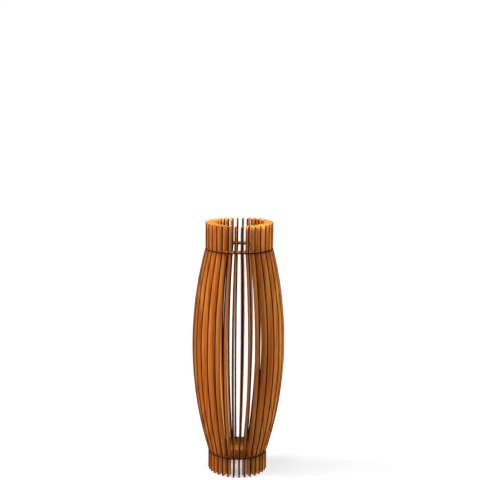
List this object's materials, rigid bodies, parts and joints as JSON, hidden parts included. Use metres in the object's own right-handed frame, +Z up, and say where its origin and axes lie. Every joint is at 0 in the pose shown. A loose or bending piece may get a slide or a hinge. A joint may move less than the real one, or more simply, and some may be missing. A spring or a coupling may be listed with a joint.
{
  "type": "floor vase",
  "caption": "Tall slatted floor vase of upright bowed wooden fins halved into a neck ring and a base disc, for dried or artificial stems.",
  "frame": {"origin": "centre of the foot on the floor, on the vase's axis", "axes": "+Z up along the vase's axis, -Y towards the front, where fin_01 stands, +X to the right"},
  "size_m": [0.218, 0.218, 0.6],
  "materials": {
    "fin_plywood": "honey-stained satin varnish, laser-charred edges",
    "plate_plywood": "honey-stained satin varnish, laser-charred edges"
  },
  "bodies": {
    "root": {"fin_01": "fin_plywood", "fin_02": "fin_plywood", "fin_03": "fin_plywood", "fin_04": "fin_plywood", "fin_05": "fin_plywood", "fin_06": "fin_plywood", "fin_07": "fin_plywood", "fin_08": "fin_plywood", "fin_09": "fin_plywood", "fin_10": "fin_plywood", "fin_11": "fin_plywood", "fin_12": "fin_plywood", "fin_13": "fin_plywood", "fin_14": "fin_plywood", "fin_15": "fin_plywood", "fin_16": "fin_plywood", "fin_17": "fin_plywood", "fin_18": "fin_plywood", "fin_19": "fin_plywood", "fin_20": "fin_plywood", "fin_21": "fin_plywood", "fin_22": "fin_plywood", "fin_23": "fin_plywood", "fin_24": "fin_plywood", "fin_25": "fin_plywood", "fin_26": "fin_plywood", "fin_27": "fin_plywood", "fin_28": "fin_plywood", "fin_29": "fin_plywood", "fin_30": "fin_plywood", "fin_31": "fin_plywood", "fin_32": "fin_plywood", "neck_ring": "plate_plywood", "base_disc": "plate_plywood"}
  },
  "joints": []
}
